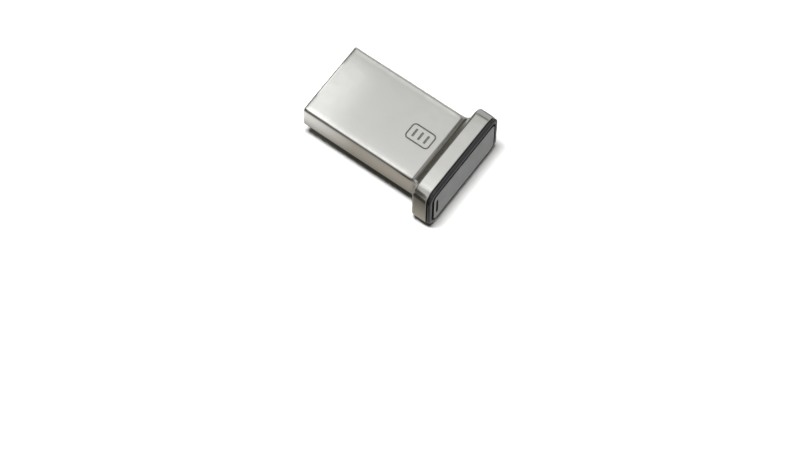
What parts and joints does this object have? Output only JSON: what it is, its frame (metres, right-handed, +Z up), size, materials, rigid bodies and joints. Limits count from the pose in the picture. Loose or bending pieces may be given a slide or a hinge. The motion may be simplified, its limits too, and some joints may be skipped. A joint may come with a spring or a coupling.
{
  "type": "usb flash drive",
  "caption": "Short USB flash drive: satin metal plug and wider round-cornered head in one piece, open at the tip, with a glossy black bezel and grey panel on the end.",
  "frame": {"origin": "middle of the underside: half way along the length and across the width, at the height of the head's underside", "axes": "+X from the plug's open tip towards the end panel, +Y across the plug, +Z up out of the plug's marked face"},
  "size_m": [0.0224, 0.0158, 0.0085],
  "materials": {
    "satin_nickel": "bead-blasted satin nickel plating on a zinc casting",
    "black_plastic": "fine moulded grain",
    "board_laminate": "green solder mask",
    "gold_plating": "bright gold over nickel",
    "silicon": "polished",
    "moulding_compound": "fine matt epoxy",
    "tinned_steel": "tin plated",
    "ceramic": "fired ceramic with tinned ends",
    "resistor_black": "glazed",
    "spring_steel": "rolled strip",
    "led_resin": "clear resin over a white base",
    "smoked_clear_plastic": "smoked transparent, dark when unlit",
    "black_rubber": "matt",
    "gloss_black": "piano gloss",
    "adhesive_tape": "double-sided tape",
    "grey_panel": "fine satin grey"
  },
  "bodies": {
    "root": {"metal_body": "satin_nickel", "plug_carrier": "black_plastic", "circuit_board": "board_laminate", "contact_power": "gold_plating", "contact_data_minus": "gold_plating", "contact_data_plus": "gold_plating", "contact_ground": "gold_plating", "plug_stop": "black_plastic", "memory_die_inner": "silicon", "memory_die_outer": "silicon", "controller_die": "silicon", "die_cover": "moulding_compound", "crystal": "tinned_steel", "voltage_regulator": "moulding_compound", "surge_protector": "moulding_compound", "input_capacitor": "ceramic", "core_capacitor": "ceramic", "memory_capacitor": "ceramic", "crystal_capacitor": "ceramic", "data_minus_resistor": "resistor_black", "data_plus_resistor": "resistor_black", "led_resistor": "resistor_black", "ground_spring": "spring_steel", "status_led": "led_resin", "light_pipe": "smoked_clear_plastic", "bezel_seal": "black_rubber", "end_bezel": "gloss_black", "panel_tape": "adhesive_tape", "end_panel": "grey_panel"}
  },
  "joints": []
}
